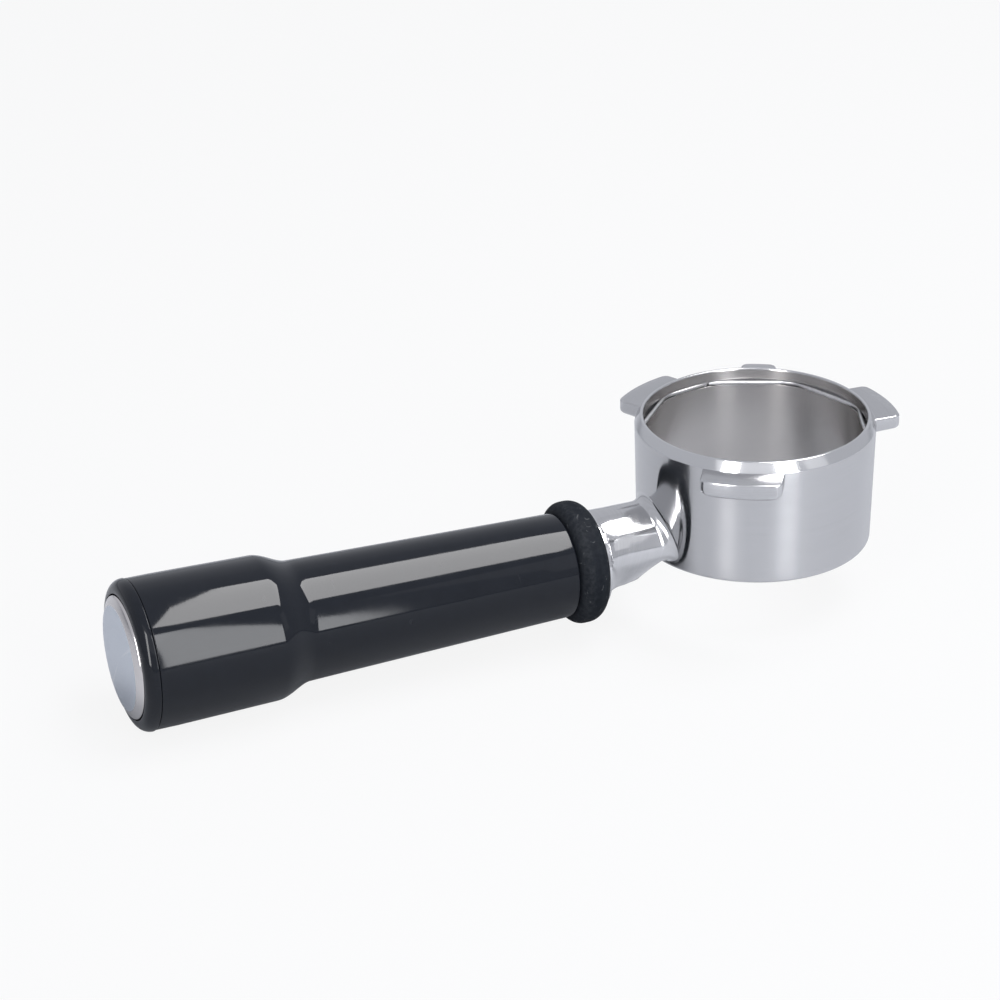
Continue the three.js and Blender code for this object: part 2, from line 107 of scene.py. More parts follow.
def addSoftbox(name, box):
    turn = aimed(box["place"], box["aim"], box["roll"])
    bpy.ops.object.light_add(type="AREA", location=Vector(box["place"]) * mm, rotation=turn)
    light = bpy.context.object
    light.name = name
    light.data.shape = "RECTANGLE"
    light.data.size = box["size"][0] * mm
    light.data.size_y = box["size"][1] * mm
    light.data.energy = box["glow"] * math.pi * light.data.size * light.data.size_y
    light.data.color = box["tint"]


for name, box in softboxes.items():
    addSoftbox(name, box)

room = {"color": (0.54, 0.555, 0.60), "floorDrop": 0.4, "floorSize": 9000, "floorColor": (0.37, 0.38, 0.40),
        "floorRoughness": 0.9, "floorShine": 0.1, "paper": (1.0, 1.0, 1.0), "paperGlow": 0.88}


def addRoom():
    scene = bpy.context.scene
    scene.view_settings.view_transform = "Standard"
    world = bpy.data.worlds.new("studioRoom")
    world.use_nodes = True
    world.node_tree.nodes["Background"].inputs["Color"].default_value = (*room["color"], 1)
    scene.world = world
    low = cadBox[0][2] - room["floorDrop"] * mm
    bpy.ops.mesh.primitive_plane_add(size=room["floorSize"] * mm, location=(0, 0, low))
    floor = bpy.context.object
    floor.name = "paleFloor"
    bpy.ops.object.transform_apply(location=True)
    material = bpy.data.materials.new("palePaper")
    material.use_nodes = True
    tree = material.node_tree
    shader = tree.nodes["Principled BSDF"]
    shader.inputs["Base Color"].default_value = (*room["floorColor"], 1)
    shader.inputs["Roughness"].default_value = room["floorRoughness"]
    shader.inputs["Specular IOR Level"].default_value = room["floorShine"]
    # the camera sees nearly white paper, while the metal reflects a greyer floor
    glow = tree.nodes.new("ShaderNodeEmission")
    glow.inputs["Color"].default_value = (*room["paper"], 1)
    ray = tree.nodes.new("ShaderNodeLightPath")
    share = tree.nodes.new("ShaderNodeMath")
    share.operation = "MULTIPLY"
    share.inputs[1].default_value = room["paperGlow"]
    blend = tree.nodes.new("ShaderNodeMixShader")
    tree.links.new(ray.outputs["Is Camera Ray"], share.inputs[0])
    tree.links.new(share.outputs[0], blend.inputs[0])
    tree.links.new(shader.outputs[0], blend.inputs[1])
    tree.links.new(glow.outputs[0], blend.inputs[2])
    tree.links.new(blend.outputs[0], tree.nodes["Material Output"].inputs["Surface"])
    floor.data.materials.append(material)


addRoom()
print("camera, lights and floor made")


weld = 0.002  # vertices closer than this become one
arcStep = 10  # degrees between the points of a rounding, with no fewer than arcFewest steps
arcFewest = 3
ringCrease = 32  # degrees; faces that meet at more than this keep a sharp edge
turnedCrease = 40


def startPiece(name, place):
    # one vertex at a place, in edit mode, ready to be extruded
    bpy.ops.object.select_all(action="DESELECT")
    bpy.ops.mesh.primitive_plane_add(size=mm, location=place)
    piece = bpy.context.object
    piece.name = name
    bpy.ops.object.transform_apply(location=True)
    bpy.ops.object.mode_set(mode="EDIT")
    bpy.ops.mesh.select_all(action="SELECT")
    bpy.ops.mesh.merge(type="CENTER")
    return piece


def drawOn(points):
    # the selected vertex is extruded from point to point
    for before, after in zip(points, points[1:]):
        step = Vector(after) - Vector(before)
        bpy.ops.mesh.extrude_vertices_move(TRANSFORM_OT_translate={"value": step})


def closeShell():
    # doubles merged, faces turned outwards, and edit mode left
    bpy.ops.mesh.select_all(action="SELECT")
    bpy.ops.mesh.remove_doubles(threshold=weld * mm)
    bpy.ops.mesh.normals_make_consistent(inside=False)
    if bmesh.from_edit_mesh(bpy.context.object.data).calc_volume(signed=True) < 0:
        bpy.ops.mesh.flip_normals()
    bpy.ops.object.mode_set(mode="OBJECT")


def softened(corners, closed=True):
    # corners are (radius, height) or (radius, height, rounding); roundings become arcs
    outline = []
    for i, corner in enumerate(corners):
        here = Vector(corner[:2])
        if len(corner) < 3:
            outline.append(here)
            continue
        toBefore = (Vector(corners[i - 1][:2]) - here).normalized()
        toAfter = (Vector(corners[(i + 1) % len(corners)][:2]) - here).normalized()
        half = toBefore.angle(toAfter) / 2
        reach = corner[2] / math.tan(half)
        centre = here + (toBefore + toAfter).normalized() * corner[2] / math.sin(half)
        start = here + toBefore * reach - centre
        end = here + toAfter * reach - centre
        first = math.atan2(start.y, start.x)
        sweep = (math.atan2(end.y, end.x) - first + math.pi) % (2 * math.pi) - math.pi
        steps = max(arcFewest, round(math.degrees(abs(sweep)) / arcStep))
        for k in range(steps + 1):
            turn = first + sweep * k / steps
            outline.append(centre + Vector((math.cos(turn), math.sin(turn))) * corner[2])
    return outline + outline[:1] if closed else outline


def turnUpright(name, corners, steps, closed=True):
    points = [(r * mm, 0, h * mm) for r, h in softened(corners, closed)]
    piece = startPiece(name, points[0])
    drawOn(points)
    bpy.ops.mesh.select_all(action="SELECT")
    bpy.ops.mesh.spin(steps=steps, angle=2 * math.pi, center=(0, 0, 0), axis=(0, 0, 1))
    closeShell()
    return piece


def turnAlongHandle(name, corners, steps, axisZ, closed=True):
    # heights are distances along the handle from the ring's axis
    points = [(-s * mm, 0, (axisZ + r) * mm) for r, s in softened(corners, closed)]
    piece = startPiece(name, points[0])
    drawOn(points)
    bpy.ops.mesh.select_all(action="SELECT")
    bpy.ops.mesh.spin(steps=steps, angle=2 * math.pi, center=(0, 0, axisZ * mm), axis=(1, 0, 0))
    closeShell()
    return piece


def selectEdges(piece, wanted):
    mesh = bmesh.from_edit_mesh(piece.data)
    bpy.ops.mesh.select_all(action="DESELECT")
    for edge in mesh.edges:
        if len(edge.link_faces) == 2 and wanted(edge):
            edge.select = True
    bmesh.update_edit_mesh(piece.data)


def activate(piece):
    bpy.ops.object.select_all(action="DESELECT")
    piece.select_set(True)
    bpy.context.view_layer.objects.active = piece


def shade(piece, crease):
    activate(piece)
    bpy.ops.object.shade_smooth_by_angle(angle=math.radians(crease))


def finishPiece(piece, body, slot, material, *nodes):
    # the piece rides on a body, takes the material and hides the CAD nodes it stands in for
    piece.data.materials.clear()
    piece.data.materials.append(material)
    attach(piece, body)
    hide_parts(*nodes)


def quarterTurn(step):
    # angles from 0 to 90 degrees, in radians
    return [math.radians(step * i) for i in range(round(90 / step) + 1)]


def smoothStep(low, high, value):
    t = min(1, max(0, (value - low) / (high - low)))
    return t * t * (3 - 2 * t)


def span(node):
    # a CAD node's lowest and highest corners
    low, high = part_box(node)
    return low / mm, high / mm


# places and radii taken from the CAD nodes; a station is a distance from the bore's axis along the handle
bodyLow, bodyHigh = span("portafilter_body")
collarLow, collarHigh = span("neck_collar")
shellLow, shellHigh = span("handle_shell")
capLow, capHigh = span("end_cap")
discLow, discHigh = span("end_disc")
wireLow, wireHigh = span("basket_spring")
mounts = {mount["name"]: mount for mount in frame["record"]["mounts"]}
footZ = mounts["foot_face"]["pos_m"][2] / mm
axisZ = (discLow[2] + discHigh[2]) / 2
tangEnd = -bodyLow[0]
collarFront, collarBack = -collarHigh[0], -collarLow[0]
shellFront, shellBack = -shellHigh[0], -shellLow[0]
capSkirtEnd, capEnd = -capHigh[0], -capLow[0]
discBack, discFace = -discHigh[0], -discLow[0]
shellRadius = (shellHigh[1] - shellLow[1]) / 2
capRadius = (capHigh[1] - capLow[1]) / 2
discRadius = (discHigh[1] - discLow[1]) / 2
collarRadius = (collarHigh[1] - collarLow[1]) / 2
wireZ = (wireLow[2] + wireHigh[2]) / 2


def newGroup(name, inputs, outputs):
    group = bpy.data.node_groups.new(name, "ShaderNodeTree")
    for label, kind, value in inputs:
        socket = group.interface.new_socket(name=label, in_out="INPUT", socket_type=kind)
        if value is not None:
            socket.default_value = value
    for label, kind in outputs:
        group.interface.new_socket(name=label, in_out="OUTPUT", socket_type=kind)
    return group, group.nodes.new("NodeGroupInput"), group.nodes.new("NodeGroupOutput")


def mathNode(tree, operation, first, second=None, third=None):
    node = tree.nodes.new("ShaderNodeMath")
    node.operation = operation
    for i, value in enumerate((first, second, third)):
        if value is None:
            continue
        if isinstance(value, (int, float)):
            node.inputs[i].default_value = value
        else:
            tree.links.new(value, node.inputs[i])
    return node.outputs[0]


def noiseNode(tree, vector, scale, detail=2.0, roughness=0.5):
    node = tree.nodes.new("ShaderNodeTexNoise")
    values = {"Vector": vector, "Scale": scale, "Detail": detail, "Roughness": roughness}
    for label, value in values.items():
        if isinstance(value, (int, float)):
            node.inputs[label].default_value = value
        else:
            tree.links.new(value, node.inputs[label])
    return node.outputs["Fac"]


def rangeNode(tree, value, fromLow, fromHigh, toLow, toHigh):
    node = tree.nodes.new("ShaderNodeMapRange")
    node.interpolation_type = "SMOOTHSTEP"
    tree.links.new(value, node.inputs["Value"])
    limits = {"From Min": fromLow, "From Max": fromHigh, "To Min": toLow, "To Max": toHigh}
    for label, limit in limits.items():
        if isinstance(limit, (int, float)):
            node.inputs[label].default_value = limit
        else:
            tree.links.new(limit, node.inputs[label])
    return node.outputs["Result"]


lineLook = {"slope": 1.7, "fine": 1.0, "broad": 0.12, "detail": 3.0}
scuffLook = {"hairDetail": 1.0, "middle": 0.5, "patchScale": 2.3, "patchLow": 0.56, "patchHigh": 0.66,
             "smudgeScale": 0.35, "smudgeDetail": 4.0, "smudgeRoughness": 0.6}
wearLook = {"ridge": 0.505, "rubScale": 900.0, "rubDetail": 4.0, "rubRoughness": 0.65,
            "rubLow": 0.35, "rubHigh": 0.65, "rubLeast": 0.2}


def makeTurnedLines():
    # fine lines that run round the local Z axis, as a lathe or a belt leaves them
    group, start, end = newGroup(
        "turnedLines",
        [("Vector", "NodeSocketVector", None), ("Fineness", "NodeSocketFloat", 6000.0),
         ("Length", "NodeSocketFloat", 25.0)],
        [("Lines", "NodeSocketFloat"), ("Bands", "NodeSocketFloat")])
    apart = group.nodes.new("ShaderNodeSeparateXYZ")
    group.links.new(start.outputs["Vector"], apart.inputs[0])
    x, y, z = apart.outputs
    squares = [mathNode(group, "MULTIPLY", side, side) for side in (x, y)]
    radius = mathNode(group, "SQRT", mathNode(group, "ADD", *squares))
    across = mathNode(group, "MULTIPLY_ADD", radius, lineLook["slope"], z)
    for label, share in (("Lines", lineLook["fine"]), ("Bands", lineLook["broad"])):
        place = group.nodes.new("ShaderNodeCombineXYZ")
        for socket, value in zip(place.inputs, (x, y)):
            group.links.new(mathNode(group, "MULTIPLY", value, start.outputs["Length"]), socket)
        fine = mathNode(group, "MULTIPLY", start.outputs["Fineness"], share)
        group.links.new(mathNode(group, "MULTIPLY", across, fine), place.inputs[2])
        group.links.new(noiseNode(group, place.outputs[0], 1.0, lineLook["detail"]), end.inputs[label])
    return group


def makeScuffs():
    # sparse hairline scratches and soft smudges
    group, start, end = newGroup(
        "scuffs",
        [("Vector", "NodeSocketVector", None), ("Scale", "NodeSocketFloat", 120.0),
         ("Width", "NodeSocketFloat", 0.012)],
        [("Scratches", "NodeSocketFloat"), ("Smudges", "NodeSocketFloat")])
    vector, scale = start.outputs["Vector"], start.outputs["Scale"]
    wander = noiseNode(group, vector, scale, scuffLook["hairDetail"])
    line = mathNode(group, "ABSOLUTE", mathNode(group, "SUBTRACT", wander, scuffLook["middle"]))
    thin = mathNode(group, "LESS_THAN", line, start.outputs["Width"])
    patch = noiseNode(group, vector, mathNode(group, "MULTIPLY", scale, scuffLook["patchScale"]))
    sparse = rangeNode(group, patch, scuffLook["patchLow"], scuffLook["patchHigh"], 0.0, 1.0)
    group.links.new(mathNode(group, "MULTIPLY", thin, sparse), end.inputs["Scratches"])
    broad = mathNode(group, "MULTIPLY", scale, scuffLook["smudgeScale"])
    smudges = noiseNode(group, vector, broad, scuffLook["smudgeDetail"], scuffLook["smudgeRoughness"])
    group.links.new(smudges, end.inputs["Smudges"])
    return group


def makeEdgeWear():
    # worn along the ridges of a shape
    group, start, end = newGroup(
        "edgeWear",
        [("Vector", "NodeSocketVector", None), ("Reach", "NodeSocketFloat", 0.53)],
        [("Wear", "NodeSocketFloat")])
    shape = group.nodes.new("ShaderNodeNewGeometry")
    pointed = shape.outputs["Pointiness"]
    ridge = rangeNode(group, pointed, wearLook["ridge"], start.outputs["Reach"], 0.0, 1.0)
    speckle = noiseNode(group, start.outputs["Vector"], wearLook["rubScale"], wearLook["rubDetail"],
                        wearLook["rubRoughness"])
    rub = rangeNode(group, speckle, wearLook["rubLow"], wearLook["rubHigh"], wearLook["rubLeast"], 1.0)
    group.links.new(mathNode(group, "MULTIPLY", ridge, rub), end.inputs["Wear"])
    return group


turnedLines = makeTurnedLines()
scuffs = makeScuffs()
edgeWear = makeEdgeWear()


def newMaterial(name, roundHandle=False):
    # a material with its shader, and object coordinates whose Z runs along the piece's axis
    material = bpy.data.materials.new(name)
    material.use_nodes = True
    tree = material.node_tree
    vector = tree.nodes.new("ShaderNodeTexCoord").outputs["Object"]
    if roundHandle:
        place = tree.nodes.new("ShaderNodeMapping")
        place.inputs["Rotation"].default_value = (0, math.radians(90), 0)
        place.inputs["Location"].default_value = (-axisZ * mm, 0, 0)
        tree.links.new(vector, place.inputs["Vector"])
        vector = place.outputs["Vector"]
    return material, tree, tree.nodes["Principled BSDF"], vector


def effect(tree, group, vector, **values):
    node = tree.nodes.new("ShaderNodeGroup")
    node.node_tree = group
    tree.links.new(vector, node.inputs["Vector"])
    for label, value in values.items():
        node.inputs[label].default_value = value
    return node.outputs


def mixColor(tree, share, first, second):
    node = tree.nodes.new("ShaderNodeMix")
    node.data_type = "RGBA"
    tree.links.new(share, node.inputs["Factor"])
    for socket, color in zip((node.inputs[6], node.inputs[7]), (first, second)):
        if isinstance(color, tuple):
            socket.default_value = (*color, 1)
        else:
            tree.links.new(color, socket)
    return node.outputs[2]


def bump(tree, shader, height, strength, distance):
    node = tree.nodes.new("ShaderNodeBump")
    node.inputs["Strength"].default_value = strength
    node.inputs["Distance"].default_value = distance * mm
    tree.links.new(height, node.inputs["Height"])
    tree.links.new(node.outputs[0], shader.inputs["Normal"])


def mixFloat(tree, share, first, second):
    node = tree.nodes.new("ShaderNodeMix")
    node.data_type = "FLOAT"
    tree.links.new(share, node.inputs["Factor"])
    tree.links.new(first, node.inputs[2])
    node.inputs[3].default_value = second
    return node.outputs[0]


def aroundAxis(tree, vector):
    # the distance from the local Z axis, with x and z
    apart = tree.nodes.new("ShaderNodeSeparateXYZ")
    tree.links.new(vector, apart.inputs[0])
    x, y, z = apart.outputs
    squares = mathNode(tree, "MULTIPLY_ADD", x, x, mathNode(tree, "MULTIPLY", y, y))
    return mathNode(tree, "SQRT", squares), x, z


# where the ring's finishes and the painted reflection on its chamfer change: radii and heights in
# millimetres, and x over radius at the neck
zones = {"neckFrom": -0.84, "neckTo": -0.74, "outside": 28.95, "chamferFoot": -2.7, "chamferHead": -2.4,
         "wall": 31.1, "lug": 31.5, "lugShare": 0.8, "bore": 28.8, "mouthFoot": -0.5, "mouthHead": -0.2,
         "boreShare": 0.75, "rimBlend": 0.1}


def polishAndSheenZones(tree, vector):
    # masks for the wall near the neck, for the rim with the lugs, and for the chamfer alone, which is
    # painted lighter as a painted reflection
    radius, x, z = aroundAxis(tree, vector)
    facing = mathNode(tree, "DIVIDE", x, radius)
    nearNeck = rangeNode(tree, facing, zones["neckFrom"], zones["neckTo"], 1.0, 0.0)
    outside = mathNode(tree, "GREATER_THAN", radius, zones["outside"] * mm)
    chamferAndSheen = rangeNode(tree, z, zones["chamferFoot"] * mm, zones["chamferHead"] * mm, 0.0, 1.0)
    beyond = rangeNode(tree, radius, zones["wall"] * mm, zones["lug"] * mm, 0.0, zones["lugShare"])
    rim = mathNode(tree, "MAXIMUM", chamferAndSheen, beyond)
    onWall = mathNode(tree, "LESS_THAN", radius, zones["wall"] * mm)
    chamferAndSheen = mathNode(tree, "MULTIPLY", chamferAndSheen, onWall)
    return [mathNode(tree, "MULTIPLY", zone, outside) for zone in (nearNeck, rim, chamferAndSheen)]


def rimZone(tree, vector, radius):
    # a mask for what lies outside a radius
    away = aroundAxis(tree, vector)[0]
    blend = zones["rimBlend"]
    return rangeNode(tree, away, (radius - blend) * mm, (radius + blend) * mm, 0.0, 1.0)


def boreZone(tree, vector):
    # a mask for the bore's wall, below its mouth
    radius, _, z = aroundAxis(tree, vector)
    inside = rangeNode(tree, radius, zones["bore"] * mm, zones["outside"] * mm, 1.0, 0.0)
    below = rangeNode(tree, z, zones["mouthFoot"] * mm, zones["mouthHead"] * mm, 1.0, 0.0)
    return mathNode(tree, "MULTIPLY", mathNode(tree, "MULTIPLY", inside, below), zones["boreShare"])


# a metal's blotches are smudges and bands together; its scratches are cut in, and a molding's turn dull
metalLook = {"smudgeShare": 0.5, "bandShare": 0.5, "blotchLow": 0.3, "blotchHigh": 0.7,
             "scratchDepth": -0.12}
moldLook = {"smudgeLow": 0.35, "smudgeHigh": 0.7, "scuffShare": 0.5, "grainDetail": 3.0,
            "grainRoughness": 0.6}


def metal(name, look, roundHandle=False):
    material, tree, shader, vector = newMaterial(name, roundHandle)
    shader.inputs["Metallic"].default_value = 1
    shader.inputs["Anisotropic"].default_value = look["anisotropy"]
    shader.inputs["Anisotropic Rotation"].default_value = look.get("turn", 0)
    lines = effect(tree, turnedLines, vector, Fineness=look["fineness"], Length=look["length"])
    marks = effect(tree, scuffs, vector, Scale=look["scuffScale"])
    worn = effect(tree, edgeWear, vector)
    color = mixColor(tree, lines["Lines"], look["dark"], look["light"])
    stained = mathNode(tree, "MULTIPLY", marks["Smudges"], look["stain"])
    color = mixColor(tree, stained, color, look["stainColor"])
    rubbed = mathNode(tree, "MULTIPLY", worn["Wear"], look["wear"])
    color = mixColor(tree, rubbed, color, look["wornColor"])
    low, high = look["roughness"]
    bands = mathNode(tree, "MULTIPLY", lines["Bands"], metalLook["bandShare"])
    blotch = mathNode(tree, "MULTIPLY_ADD", marks["Smudges"], metalLook["smudgeShare"], bands)
    rough = rangeNode(tree, blotch, metalLook["blotchLow"], metalLook["blotchHigh"], low, high)
    rough = mathNode(tree, "MULTIPLY_ADD", marks["Scratches"], look["scratch"], rough)
    if "bevelRadius" in look:
        zone = rimZone(tree, vector, look["bevelRadius"])
        rough = mixFloat(tree, zone, rough, look["bevelShine"])
        # the disc's bevel is painted a warmer tone: a painted reflection
        color = mixColor(tree, zone, color, look["bevelPaintedReflection"])
    if "mirror" in look:
        nearNeck, rim, chamferAndSheen = polishAndSheenZones(tree, vector)
        rough = mixFloat(tree, rim, mixFloat(tree, nearNeck, rough, look["mirror"]), look["polish"])
        color = mixColor(tree, boreZone(tree, vector), color, look["boreColor"])
        # the chamfer is painted lighter than the steel: a painted reflection
        color = mixColor(tree, chamferAndSheen, color, look["chamferPaintedSheen"])
    tree.links.new(color, shader.inputs["Base Color"])
    tree.links.new(rough, shader.inputs["Roughness"])
    height = mathNode(tree, "MULTIPLY_ADD", marks["Scratches"], metalLook["scratchDepth"], lines["Lines"])
    bump(tree, shader, height, look["bump"], look["bumpDepth"])
    return material


def plastic(name, look, roundHandle=True):
    material, tree, shader, vector = newMaterial(name, roundHandle)
    shader.inputs["IOR"].default_value = look["ior"]
    shader.inputs["Specular IOR Level"].default_value = look["shine"]
    shader.inputs["Coat Weight"].default_value = look["coat"]
    shader.inputs["Coat Roughness"].default_value = look["coatRoughness"]
    marks = effect(tree, scuffs, vector, Scale=look["scuffScale"], Width=look["scuffWidth"])
    worn = effect(tree, edgeWear, vector)
    mottle = noiseNode(tree, vector, look["grainScale"], moldLook["grainDetail"],
                       moldLook["grainRoughness"])
    color = mixColor(tree, mottle, look["dark"], look["light"])
    scratched = mathNode(tree, "MULTIPLY", marks["Scratches"], look["scuff"])
    color = mixColor(tree, scratched, color, look["scuffColor"])
    rubbed = mathNode(tree, "MULTIPLY", worn["Wear"], look["wear"])
    color = mixColor(tree, rubbed, color, look["scuffColor"])
    tree.links.new(color, shader.inputs["Base Color"])
    low, high = look["roughness"]
    rough = rangeNode(tree, marks["Smudges"], moldLook["smudgeLow"], moldLook["smudgeHigh"], low, high)
    dulled = look["scuff"] * moldLook["scuffShare"]
    rough = mathNode(tree, "MULTIPLY_ADD", marks["Scratches"], dulled, rough)
    tree.links.new(rough, shader.inputs["Roughness"])
    wave = noiseNode(tree, vector, look["waveScale"])
    swell = mathNode(tree, "MULTIPLY", wave, look["wave"])
    height = mathNode(tree, "MULTIPLY_ADD", mottle, look["grain"], swell)
    bump(tree, shader, height, look["bump"], look["bumpDepth"])
    return material


# rows are heights of extra edges on the wall, and hold keeps the bore's shading flat near its edges
ring = {"bore": 28.7, "rimFlat": 0.8, "wall": 2.3, "draft": 0.7, "chamferDrop": 2.5, "edge": 0.3,
        "hold": 0.15, "rows": (-29, -25, -21, -17, -13, -10, -8, -7.2), "chamferFoot": 0.7,
        "chamferHead": 0.25, "mouthRounding": 0.1, "mouthShare": 0.5, "grooveDrop": 2.9,
        "grooveHeight": 1.4, "grooveDepth": 1.3, "grooveLip": 0.08, "grooveFloor": 0.15,
        "footRounding": 1.0, "steps": 192}
ringSteel = {"dark": (0.545, 0.545, 0.555), "light": (0.66, 0.66, 0.67), "stain": 0.10,
             "stainColor": (0.45, 0.43, 0.41), "wear": 0.4, "wornColor": (0.86, 0.86, 0.87),
             "roughness": (0.225, 0.262), "scratch": 0.008, "anisotropy": 0.9, "turn": 0.25,
             "fineness": 9000.0, "length": 45.0, "scuffScale": 130.0, "bump": 0.07, "bumpDepth": 0.02,
             # the chamfer's lighter colour on this line is a painted reflection, not the steel's own colour
             "boreColor": (0.54, 0.52, 0.505), "chamferPaintedSheen": (0.71, 0.71, 0.72), "mirror": 0.09,
             "polish": 0.15}
# lifts are the rows above a lug's lower face, close together where its ends are rounded
lug = {"root": 30.3, "reach": 37.8, "tipDrop": 2.5, "under": 7.0, "corner": 1.9, "cornerSteps": 8,
       "lowerEdge": 1.65, "lowerSteps": 7, "topEdge": 0.4, "topSteps": 4, "edgeTurn": 40, "clear": 1.0,
       "endRounding": 2.3, "endFrom": 2.6, "endTo": 0.6, "lifts": (1.8, 0.3, 0.3), "step": 1.3}
mainLugs = {"angles": (237, 357, 117), "width": 31.5}
keyLug = {"angles": (61,), "width": 14}


def addLug(middle, width):
    # drawn in plan with rounded corners, raised, then its lower and upper edges are rounded
    half = math.radians(width / 2)
    back, tip, corner = lug["root"], lug["reach"], lug["corner"]
    halfWidth = tip * math.sin(half)  # the sides run parallel to the lug's middle line
    root = math.asin(halfWidth / back)
    cornerAt = math.asin((halfWidth - corner) / (tip - corner))
    plan = [(back, -root)]
    for side in (-1, 1):
        centre = Vector((math.cos(cornerAt), side * math.sin(cornerAt))) * (tip - corner)
        for k in range(lug["cornerSteps"] + 1):
            along = k / lug["cornerSteps"]
            share = along if side < 0 else 1 - along
            turn = side * (math.radians(90) * (1 - share) + cornerAt * share)
            point = centre + Vector((math.cos(turn), math.sin(turn))) * corner
            plan.append((point.length, math.atan2(point.y, point.x)))
        if side < 0:
            first = plan[-1][1]
            count = round(width / lug["step"])
            plan += [(tip, first - 2 * first * k / count) for k in range(1, count)]
    plan.append((back, root))
    inner = round(width / lug["step"])
    plan += [(back, root - 2 * root * k / inner) for k in range(1, inner + 1)]
    points = []
    for radius, angle in plan:
        turn = math.radians(middle) + angle
        points.append(Vector((radius * math.cos(turn), radius * math.sin(turn), -lug["under"])) * mm)
    piece = startPiece("lug", points[0])
    drawOn(points)
    bpy.ops.mesh.select_all(action="SELECT")
    bpy.ops.mesh.remove_doubles(threshold=weld * mm)
    bpy.ops.mesh.edge_face_add()
    thickness = lug["under"] - lug["tipDrop"]
    for lift in (*lug["lifts"], thickness - sum(lug["lifts"])):
        bpy.ops.mesh.extrude_region_move(TRANSFORM_OT_translate={"value": (0, 0, lift * mm)})
    bpy.ops.mesh.select_all(action="SELECT")
    bpy.ops.mesh.normals_make_consistent(inside=False)

    def rimAt(edge, height):
        # an edge between a flat face at this height and a side, outside the ring's wall
        level = all(abs(v.co.z + height * mm) < 5 * weld * mm for v in edge.verts)
        outside = any(v.co.xy.length > (back + lug["clear"]) * mm for v in edge.verts)
        return level and outside and edge.calc_face_angle() > math.radians(lug["edgeTurn"])

    selectEdges(piece, lambda edge: rimAt(edge, lug["under"]))
    bpy.ops.mesh.bevel(offset=lug["lowerEdge"] * mm, segments=lug["lowerSteps"], affect="EDGES")
    selectEdges(piece, lambda edge: rimAt(edge, lug["tipDrop"]))
    bpy.ops.mesh.bevel(offset=lug["topEdge"] * mm, segments=lug["topSteps"], affect="EDGES")
    closeShell()
    # the lower corners are drawn in towards the middle, along an arc
    roll = lug["endRounding"]
    rollFrom, rollTo = [half - lug[key] * roll / tip for key in ("endFrom", "endTo")]
    for vertex in piece.data.vertices:
        low = -vertex.co.z / mm - (lug["under"] - roll)
        angle = math.atan2(vertex.co.y, vertex.co.x) - math.radians(middle)
        angle = (angle + math.pi) % (2 * math.pi) - math.pi
        if low <= 0:
            continue
        pull = (roll - math.sqrt(max(0, roll * roll - low * low))) / tip
        share = smoothStep(rollFrom, rollTo, abs(angle))
        turn = math.radians(middle) + angle - math.copysign(pull * share, angle)
        radius = vertex.co.xy.length
        vertex.co = Vector((radius * math.cos(turn), radius * math.sin(turn), vertex.co.z))
    return piece


def joinAll(pieces):
    bpy.ops.object.select_all(action="DESELECT")
    for piece in pieces:
        piece.select_set(True)
    bpy.context.view_layer.objects.active = pieces[0]
    bpy.ops.object.join()
    return bpy.context.object


def uniteWith(piece, other):
    activate(piece)
    modifier = piece.modifiers.new("unite", "BOOLEAN")
    modifier.operation = "UNION"
    modifier.solver = "EXACT"
    modifier.use_self = True
    modifier.object = other
    bpy.ops.object.modifier_apply(modifier=modifier.name)
    bpy.data.objects.remove(other)


def makeRing():
    bore, edge, hold = ring["bore"], ring["edge"], ring["hold"]
    outer = bore + ring["wall"]
    groove = bore + ring["grooveDepth"]
    grooveTop, grooveFoot = -ring["grooveDrop"], -ring["grooveDrop"] - ring["grooveHeight"]
    corners = [
        (bore + edge, footZ), (outer - ring["draft"], footZ, ring["footRounding"]),
        *[(outer - ring["draft"] * (z + ring["chamferDrop"]) / (footZ + ring["chamferDrop"]), z)
          for z in ring["rows"]],
        (outer, -ring["chamferDrop"], ring["chamferFoot"]),
        (bore + ring["rimFlat"], 0, ring["chamferHead"]),
        (bore + ring["mouthShare"] * edge, 0, ring["mouthRounding"]), (bore, -edge), (bore, -edge - hold),
        (bore, grooveTop + hold), (bore, grooveTop, ring["grooveLip"]),
        (groove, grooveTop, ring["grooveFloor"]), (groove, grooveFoot, ring["grooveFloor"]),
        (bore, grooveFoot, ring["grooveLip"]), (bore, grooveFoot - hold),
        (bore, footZ + edge + hold), (bore, footZ + edge)]
    piece = turnUpright("filter_ring", corners, ring["steps"])
    lugs = [addLug(angle, kind["width"]) for kind in (mainLugs, keyLug) for angle in kind["angles"]]
    uniteWith(piece, joinAll(lugs))
    shade(piece, ringCrease)
    finishPiece(piece, "portafilter", "body_steel", metal("satinSteel", ringSteel), "portafilter_body")


makeRing()
print("ring and lugs made")


# the casting starts sunk into the ring's wall, with its flare pressed a little into the surface
neck = {"radius": 10.3, "rise": 2.1, "length": 15.2, "flare": 2.6, "blend": 7.5, "flangeFlare": 6.5,
        "flange": 0.8, "sunk": 1.0, "press": 0.06, "flareStep": 10, "blendSetback": 1.5, "flangeStep": 7.5,
        "tang": 8.0, "tangEdge": 1.0, "tangRounding": 0.5, "hole": 4.3, "holeDepth": 28.0, "steps": 128}
neckSteel = {"dark": (0.60, 0.60, 0.61), "light": (0.72, 0.72, 0.73), "stain": 0.10,
             "stainColor": (0.55, 0.52, 0.50), "wear": 0.4, "wornColor": (0.86, 0.86, 0.87),
             "roughness": (0.07, 0.14), "scratch": 0.05, "anisotropy": 0.3, "turn": 0.25,
             "fineness": 3500.0, "length": 60.0, "scuffScale": 160.0, "bump": 0.1, "bumpDepth": 0.01}


